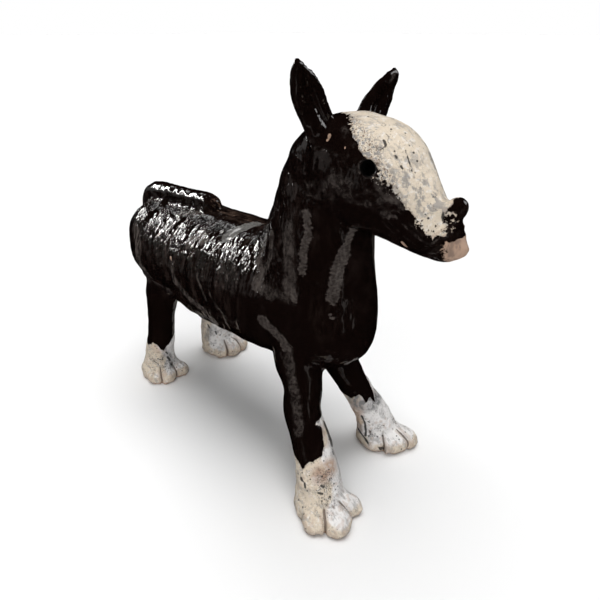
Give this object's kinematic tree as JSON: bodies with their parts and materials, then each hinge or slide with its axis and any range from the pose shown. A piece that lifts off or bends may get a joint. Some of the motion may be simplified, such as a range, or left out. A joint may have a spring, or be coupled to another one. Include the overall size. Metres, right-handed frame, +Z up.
{
  "type": "ceramic dog sculpture",
  "caption": "Hand-built glazed ceramic dog standing on splayed feet, with a pale face, upright ears and its tail laid along its back.",
  "frame": {"origin": "on the floor, at the middle of the dog's plan box", "axes": "+Z up; the dog faces -Y and its right side is -X"},
  "size_m": [0.2254, 0.557, 0.5004],
  "materials": {
    "black_glaze": "gloss"
  },
  "bodies": {
    "root": {"ceramic_dog": "black_glaze"}
  },
  "joints": []
}
